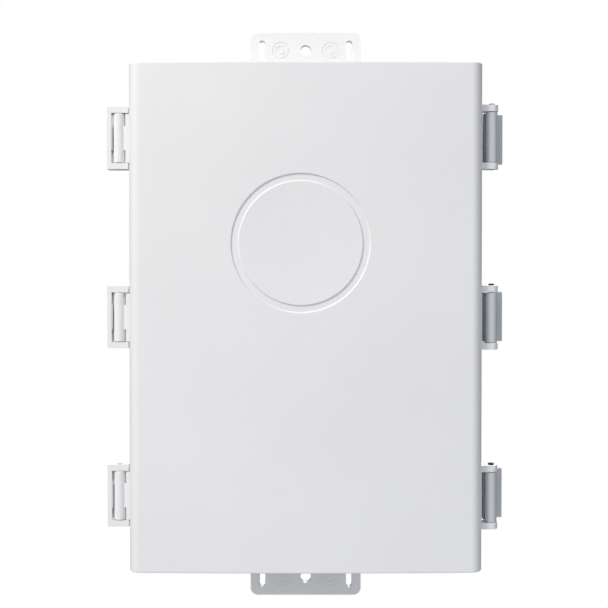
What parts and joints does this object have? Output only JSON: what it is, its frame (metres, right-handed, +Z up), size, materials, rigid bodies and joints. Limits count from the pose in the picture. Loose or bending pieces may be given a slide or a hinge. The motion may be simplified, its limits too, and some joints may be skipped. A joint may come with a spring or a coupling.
{
  "type": "outdoor wireless bridge",
  "caption": "Weatherproof box-shaped outdoor wireless bridge with a hinged latched cover over a panel antenna, on a plate with tabs for a wall or pole.",
  "frame": {"origin": "centre of the mounting plate's flat back face, which lies on the wall", "axes": "+Z up along the plate, +X to the right seen from the front, +Y into the wall; the cover faces -Y, its hinges are at -X and its latches at +X"},
  "size_m": [0.2433, 0.053, 0.363],
  "materials": {
    "white_plastic": "fine moulded satin, UV-stable white",
    "grey_plastic": "moulded satin",
    "black_plastic": "moulded satin",
    "black_rubber": "matt",
    "steel": "stainless, satin",
    "black_steel": "black oxide, satin",
    "aluminium": "mill finish sheet",
    "tin_plate": "bright tinned sheet",
    "brass": "satin",
    "patch_laminate": "bare laminate with copper patches",
    "board_green": "solder mask, semi-gloss",
    "nylon": "natural nylon"
  },
  "bodies": {
    "base": {"antenna_board": "patch_laminate", "antenna_lead_left": "black_plastic", "antenna_lead_right": "black_plastic", "antenna_reflector": "aluminium", "antenna_screw_1": "steel", "antenna_screw_2": "steel", "antenna_screw_3": "steel", "antenna_screw_4": "steel", "antenna_spacer_1": "nylon", "antenna_spacer_2": "nylon", "antenna_spacer_3": "nylon", "antenna_spacer_4": "nylon", "board_screw_1": "steel", "board_screw_2": "steel", "board_screw_3": "steel", "board_screw_4": "steel", "coax_plug_left": "brass", "coax_plug_right": "brass", "earth_bolt": "steel", "earth_nut": "brass", "entry_plug": "grey_plastic", "ethernet_jack": "tin_plate", "gland_body": "grey_plastic", "gland_cap": "grey_plastic", "gland_locknut": "grey_plastic", "gland_seal": "black_rubber", "heat_spreader": "aluminium", "hinge_frame_bottom": "white_plastic", "hinge_frame_middle": "white_plastic", "hinge_frame_top": "white_plastic", "hinge_pin_bottom": "steel", "hinge_pin_middle": "steel", "hinge_pin_top": "steel", "hinge_screw_bottom_1": "steel", "hinge_screw_bottom_2": "steel", "hinge_screw_middle_1": "steel", "hinge_screw_middle_2": "steel", "hinge_screw_top_1": "steel", "hinge_screw_top_2": "steel", "mounting_plate": "white_plastic", "plate_screw_1": "steel", "plate_screw_2": "steel", "plate_screw_3": "steel", "plate_screw_4": "steel", "poe_transformer": "black_plastic", "pressure_vent": "black_plastic", "radio_board": "board_green", "rear_housing": "white_plastic", "reset_switch": "black_plastic", "shield_can": "tin_plate", "surge_arrester": "tin_plate"},
    "cover": {"front_cover": "white_plastic", "cover_gasket": "black_rubber", "latch_pin_top": "black_steel", "latch_pin_middle": "black_steel", "latch_pin_bottom": "black_steel"},
    "reset_button": {"reset_button": "grey_plastic"},
    "latch_top": {"latch_lever_top": "white_plastic"},
    "latch_middle": {"latch_lever_middle": "white_plastic"},
    "latch_bottom": {"latch_lever_bottom": "white_plastic"}
  },
  "joints": [
    {"name": "cover_hinge", "type": "hinge", "parent": "base", "child": "cover", "pos_m": [-0.1143, -0.036, 0], "axis": [0, 0, -1], "range_deg": [0, 110]},
    {"name": "latch_top_swing", "type": "hinge", "parent": "cover", "child": "latch_top", "pos_m": [0.1132, -0.0405, 0.1095], "axis": [0, 0, -1], "range_deg": [0, 100]},
    {"name": "latch_middle_swing", "type": "hinge", "parent": "cover", "child": "latch_middle", "pos_m": [0.1132, -0.0405, 0], "axis": [0, 0, -1], "range_deg": [0, 100]},
    {"name": "latch_bottom_swing", "type": "hinge", "parent": "cover", "child": "latch_bottom", "pos_m": [0.1132, -0.0405, -0.1095], "axis": [0, 0, -1], "range_deg": [0, 100]},
    {"name": "reset_press", "type": "slide", "parent": "base", "child": "reset_button", "axis": [0, 1, 0], "range_m": [0, 0.00025], "stiffness_N_per_m": 1500, "springref_m": -0.0008}
  ]
}
